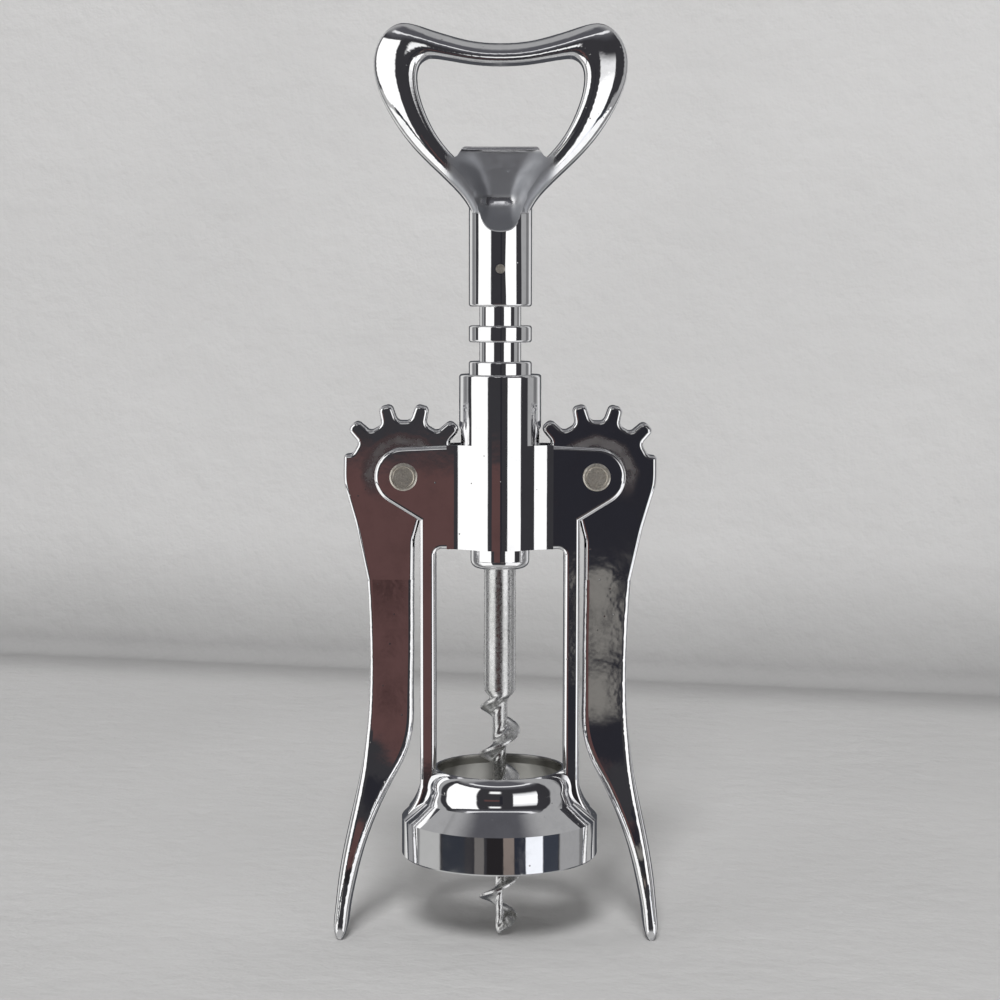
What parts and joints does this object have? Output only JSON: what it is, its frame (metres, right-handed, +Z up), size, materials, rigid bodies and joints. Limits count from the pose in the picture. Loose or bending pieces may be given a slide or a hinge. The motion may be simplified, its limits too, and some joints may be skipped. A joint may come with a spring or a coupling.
{
  "type": "wing corkscrew",
  "caption": "Wing corkscrew in chromed metal: geared wings on a ringed rack, bell for the bottle's neck, spiral screw, and a loop handle with a crown-cap opener.",
  "frame": {"origin": "on the standing surface, midway between the tips of the lowered wings, below the axis of the screw", "axes": "+Z up along the screw's axis towards the handle, +X to the right wing, -Y towards the front face"},
  "size_m": [0.0634, 0.0382, 0.177],
  "materials": {
    "casting": "polished",
    "rack": "polished",
    "screw": "satin",
    "rivet": "worn"
  },
  "bodies": {
    "frame": {"frame": "casting", "rivet_left": "rivet", "rivet_right": "rivet"},
    "lever_left": {"lever_left": "casting"},
    "lever_right": {"lever_right": "casting"},
    "rack": {"rack": "rack"},
    "handle": {"handle": "casting", "handle_pin": "screw", "worm": "screw", "worm_nut": "rack"}
  },
  "joints": [
    {"name": "lever_left_pivot", "type": "hinge", "parent": "frame", "child": "lever_left", "pos_m": [-0.01852, 0, 0.0909], "axis": [0, 1, 0], "range_deg": [0, 130]},
    {"name": "lever_right_pivot", "type": "hinge", "parent": "frame", "child": "lever_right", "pos_m": [0.01852, 0, 0.0909], "axis": [0, -1, 0], "range_deg": [0, 130]},
    {"name": "rack_slide", "type": "slide", "parent": "frame", "child": "rack", "axis": [0, 0, -1], "range_m": [0, 0.02963]},
    {"name": "handle_spin", "type": "hinge", "parent": "rack", "child": "handle", "pos_m": [0, 0, 0.12344], "axis": [0, 0, 1], "continuous": true}
  ],
  "couplings": [
    {"joint": "lever_right_pivot", "follows": "lever_left_pivot", "ratio": 1},
    {"joint": "rack_slide", "follows": "lever_left_pivot", "m_per_rad": 0.013044}
  ]
}
